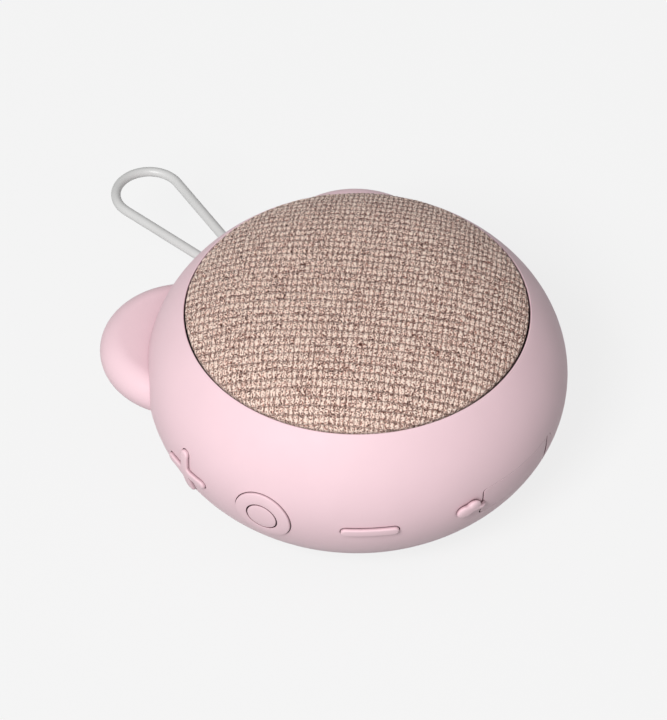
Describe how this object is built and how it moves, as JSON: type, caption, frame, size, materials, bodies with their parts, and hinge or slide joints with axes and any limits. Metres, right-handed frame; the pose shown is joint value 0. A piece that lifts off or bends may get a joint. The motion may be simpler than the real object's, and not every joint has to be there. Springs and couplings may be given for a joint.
{
  "type": "shower speaker",
  "caption": "Round portable shower speaker with a domed cloth front, two ears, a hanging loop, raised side buttons and a hinged port flap.",
  "frame": {"origin": "centre of the foot's flat underside, on the surface that the speaker lies on", "axes": "+Z is the way the cloth face points, +Y runs from the body's centre to the hanging loop, +X is to the right when looking down on the face with the loop away"},
  "size_m": [0.0907, 0.1256, 0.0499],
  "materials": {
    "soft_touch_pink": "matt soft-touch silicone",
    "pink_plastic": "matt moulded plastic",
    "woven_cloth": "coarse two-tone woven speaker cloth",
    "grey_loop": "satin elastomer",
    "grey_foot": "matt non-slip rubber",
    "dark_plastic": "matt moulded plastic",
    "black_rubber": "matt seal rubber",
    "screw_steel": "zinc-plated",
    "port_steel": "drawn steel",
    "frame_metal": "black powder coat",
    "motor_metal": "zinc-plated steel",
    "magnet_ferrite": "sintered ferrite",
    "cone_paper": "pressed pulp with a dull coating",
    "coil_copper": "enamelled copper wire",
    "spider_cloth": "resin-dipped cotton",
    "circuit_board": "solder mask",
    "flex_film": "polyimide film",
    "chip_black": "moulded epoxy",
    "can_aluminium": "drawn can",
    "cell_wrap": "aluminium-laminate pouch"
  },
  "bodies": {
    "case": {"soft_sleeve": "soft_touch_pink", "lower_housing": "dark_plastic", "upper_housing": "dark_plastic", "housing_seal": "black_rubber", "housing_screws": "screw_steel", "base_plate": "pink_plastic", "base_foot": "grey_foot", "base_screws": "screw_steel", "grille_fabric": "woven_cloth", "grille_dome": "frame_metal", "grille_ring": "dark_plastic", "ear_left": "soft_touch_pink", "ear_right": "soft_touch_pink", "loop_root": "grey_loop", "button_membrane": "black_rubber", "button_flex": "flex_film", "button_bracket": "dark_plastic", "dome_switches": "port_steel", "flap_anchor": "soft_touch_pink", "usb_shell": "port_steel", "usb_tongue": "dark_plastic", "port_board": "circuit_board", "port_gasket": "black_rubber", "driver_frame": "frame_metal", "driver_gasket": "black_rubber", "top_plate": "motor_metal", "magnet": "magnet_ferrite", "yoke": "motor_metal", "surround": "black_rubber", "spider": "spider_cloth", "driver_screws": "screw_steel", "main_board": "circuit_board", "bluetooth_module": "chip_black", "amplifier_chip": "chip_black", "capacitors": "can_aluminium", "board_screws": "screw_steel", "battery_cell": "cell_wrap", "battery_tray": "dark_plastic"},
    "loop": {"hanging_loop": "grey_loop"},
    "plus": {"button_plus": "soft_touch_pink"},
    "play": {"button_play": "soft_touch_pink"},
    "minus": {"button_minus": "soft_touch_pink"},
    "flap": {"port_flap": "soft_touch_pink"},
    "cone": {"cone": "cone_paper", "dust_cap": "cone_paper", "voice_coil": "coil_copper"}
  },
  "joints": [
    {"name": "loop_swing", "type": "hinge", "parent": "case", "child": "loop", "pos_m": [0, 0.0466, 0.0246], "axis": [1, 0, 0], "range_deg": [-35, 50], "stiffness_Nm_per_rad": 0.004},
    {"name": "plus_press", "type": "slide", "parent": "case", "child": "plus", "axis": [0.9984, -0.0558, 0], "range_m": [0, 0.0006], "stiffness_N_per_m": 1500},
    {"name": "play_press", "type": "slide", "parent": "case", "child": "play", "axis": [0.9143, 0.4051, 0], "range_m": [0, 0.0006], "stiffness_N_per_m": 1500},
    {"name": "minus_press", "type": "slide", "parent": "case", "child": "minus", "axis": [0.5892, 0.808, 0], "range_m": [0, 0.0006], "stiffness_N_per_m": 1500},
    {"name": "flap_open", "type": "hinge", "parent": "case", "child": "flap", "pos_m": [0.01729, -0.04032, 0.0207], "axis": [0.0258, -0.1508, 0.9882], "range_deg": [0, 85], "stiffness_Nm_per_rad": 0.002},
    {"name": "cone_travel", "type": "slide", "parent": "case", "child": "cone", "axis": [0, 0, 1], "range_m": [-0.001, 0.001], "stiffness_N_per_m": 1500, "deforming": ["surround", "spider"]}
  ]
}
